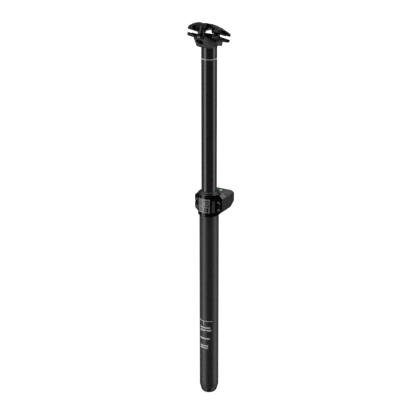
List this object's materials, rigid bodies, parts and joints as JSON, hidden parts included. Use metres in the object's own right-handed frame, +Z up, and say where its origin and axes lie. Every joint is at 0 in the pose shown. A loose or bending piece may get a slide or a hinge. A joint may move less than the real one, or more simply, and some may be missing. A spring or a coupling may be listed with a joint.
{
  "type": "dropper seatpost",
  "caption": "Telescoping bicycle seatpost with a two-bolt saddle rail clamp, a sealed collar with a battery powered actuator, and a lower tube for the frame.",
  "frame": {"origin": "on the post's axis at the underside of the collar, which is the insertion stop on the frame's seat tube", "axes": "+Z up along the post; +Y to the front of the bicycle, where the actuator and battery are and where the saddle rails slope down; +X to the bicycle's right"},
  "size_m": [0.055, 0.0735, 0.6385],
  "materials": {
    "satin_black_tube": "satin black anodised tube",
    "gloss_black_tube": "polished black anodised tube",
    "black_anodised": "gloss black anodised",
    "forged_black": "satin black forging",
    "clamp_black": "semi-gloss black forging",
    "black_steel": "black oxide steel",
    "bare_steel": "bright steel",
    "bare_aluminium": "clear anodised",
    "brass": "machined brass",
    "black_rubber": "moulded rubber",
    "black_plastic": "moulded plastic",
    "black_cap": "glass-filled plastic",
    "module_shell": "fine-textured plastic",
    "battery_shell": "fine-textured plastic",
    "etched_badge": "etched panel",
    "green_lens": "clear lens over a green light",
    "green_board": "circuit board",
    "grey_bush": "filled bearing plastic"
  },
  "bodies": {
    "lower_post": {"lower_tube": "satin_black_tube", "inner_tube": "bare_aluminium", "end_cap": "black_cap", "end_cap_seal": "black_rubber", "guide_shaft": "bare_aluminium", "bottom_bumper": "black_rubber", "inflation_valve": "brass", "valve_dust_cap": "black_plastic", "collar": "black_anodised", "upper_bushing": "grey_bush", "shaft_seal": "black_rubber", "travel_spacer": "grey_bush", "seal_nut": "black_anodised", "wiper": "black_rubber", "badge_plate": "etched_badge", "module_screws": "black_steel", "module_gasket": "black_rubber", "module_housing": "module_shell", "status_light": "green_lens", "circuit_board": "green_board", "motor": "bare_steel", "gearbox": "brass", "air_valve_body": "brass", "battery_contacts": "brass", "latch_pin": "bare_steel"},
    "upper_post": {"stanchion": "gloss_black_tube", "stanchion_plug": "bare_aluminium", "anti_rotation_keys": "brass", "piston_seal": "black_rubber", "glide_ring": "grey_bush", "top_out_bumper": "black_rubber", "head_forging": "forged_black", "head_seal": "black_rubber", "rear_bolt": "black_steel", "front_bolt": "black_steel", "bolt_washers": "bare_steel"},
    "saddle_clamp": {"rail_cradle": "clamp_black", "rail_clamp": "clamp_black"},
    "rear_nut": {"rear_nut": "black_steel"},
    "front_nut": {"front_nut": "black_steel"},
    "valve_core": {"valve_core_pin": "brass"},
    "button": {"function_button": "black_rubber"},
    "cam_shaft": {"cam": "bare_steel"},
    "valve_pin": {"air_valve_pin": "bare_steel"},
    "battery_pack": {"battery": "battery_shell"},
    "latch": {"battery_latch": "black_plastic"}
  },
  "joints": [
    {"name": "drop", "type": "slide", "parent": "lower_post", "child": "upper_post", "axis": [0, 0, -1], "range_m": [0, 0.225], "stiffness_N_per_m": 650, "springref_m": -0.2},
    {"name": "saddle_tilt", "type": "hinge", "parent": "upper_post", "child": "saddle_clamp", "pos_m": [0, 0.00287, 0.30307], "axis": [1, 0, 0], "range_deg": [-8, 8]},
    {"name": "rear_nut_slide", "type": "slide", "parent": "upper_post", "child": "rear_nut", "axis": [0, 0.3584, 0.9336], "range_m": [-0.00352, 0.00352]},
    {"name": "front_nut_slide", "type": "slide", "parent": "upper_post", "child": "front_nut", "axis": [0, 0.3584, 0.9336], "range_m": [-0.00352, 0.00352]},
    {"name": "core_press", "type": "slide", "parent": "lower_post", "child": "valve_core", "axis": [0, 0, 1], "range_m": [0, 0.0015], "stiffness_N_per_m": 800, "springref_m": -0.001},
    {"name": "button_press", "type": "slide", "parent": "lower_post", "child": "button", "axis": [-0.5905, 0, -0.807], "range_m": [0, 0.0008], "stiffness_N_per_m": 1500, "springref_m": -0.0006},
    {"name": "cam_turn", "type": "hinge", "parent": "lower_post", "child": "cam_shaft", "pos_m": [0, 0.0244, 0.014], "axis": [1, 0, 0], "range_deg": [0, 97]},
    {"name": "valve_pin_slide", "type": "slide", "parent": "lower_post", "child": "valve_pin", "axis": [0, -1, 0], "range_m": [0, 0.001]},
    {"name": "latch_swing", "type": "hinge", "parent": "lower_post", "child": "latch", "pos_m": [0, 0.0246, 0.0056], "axis": [-1, 0, 0], "range_deg": [0, 66]},
    {"name": "battery_release", "type": "slide", "parent": "lower_post", "child": "battery_pack", "axis": [0, 1, 0], "range_m": [0, 0.01]}
  ],
  "couplings": [
    {"joint": "rear_nut_slide", "follows": "saddle_tilt", "m_per_rad": -0.0245},
    {"joint": "front_nut_slide", "follows": "saddle_tilt", "m_per_rad": 0.0245},
    {"joint": "cam_turn", "follows": "valve_pin_slide", "rad_per_m": 1570.8},
    {"joint": "latch_swing", "follows": "battery_release", "rad_per_m": 105}
  ]
}
